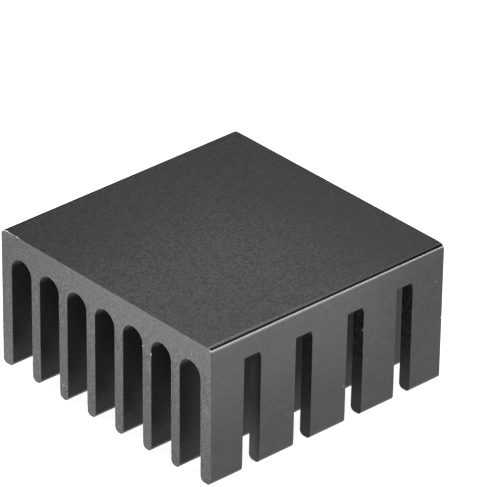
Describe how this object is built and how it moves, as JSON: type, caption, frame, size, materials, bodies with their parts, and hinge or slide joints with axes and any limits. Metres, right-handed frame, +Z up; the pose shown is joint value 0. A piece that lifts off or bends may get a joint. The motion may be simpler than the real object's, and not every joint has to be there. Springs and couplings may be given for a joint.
{
  "type": "extruded heat sink",
  "caption": "Small square extruded heat sink for a chip, with a flat mounting face and a comb of cross-cut, round-tipped fins.",
  "frame": {"origin": "middle of the footprint, in the plane of the fin tips that it stands on", "axes": "+X across the fins, +Y along the extrusion, +Z up and out of the flat mounting face"},
  "size_m": [0.02, 0.02, 0.01],
  "materials": {
    "black_anodised_aluminium": "black anodised, matte, with a fine etched grain"
  },
  "bodies": {
    "root": {"heat_sink": "black_anodised_aluminium"}
  },
  "joints": []
}
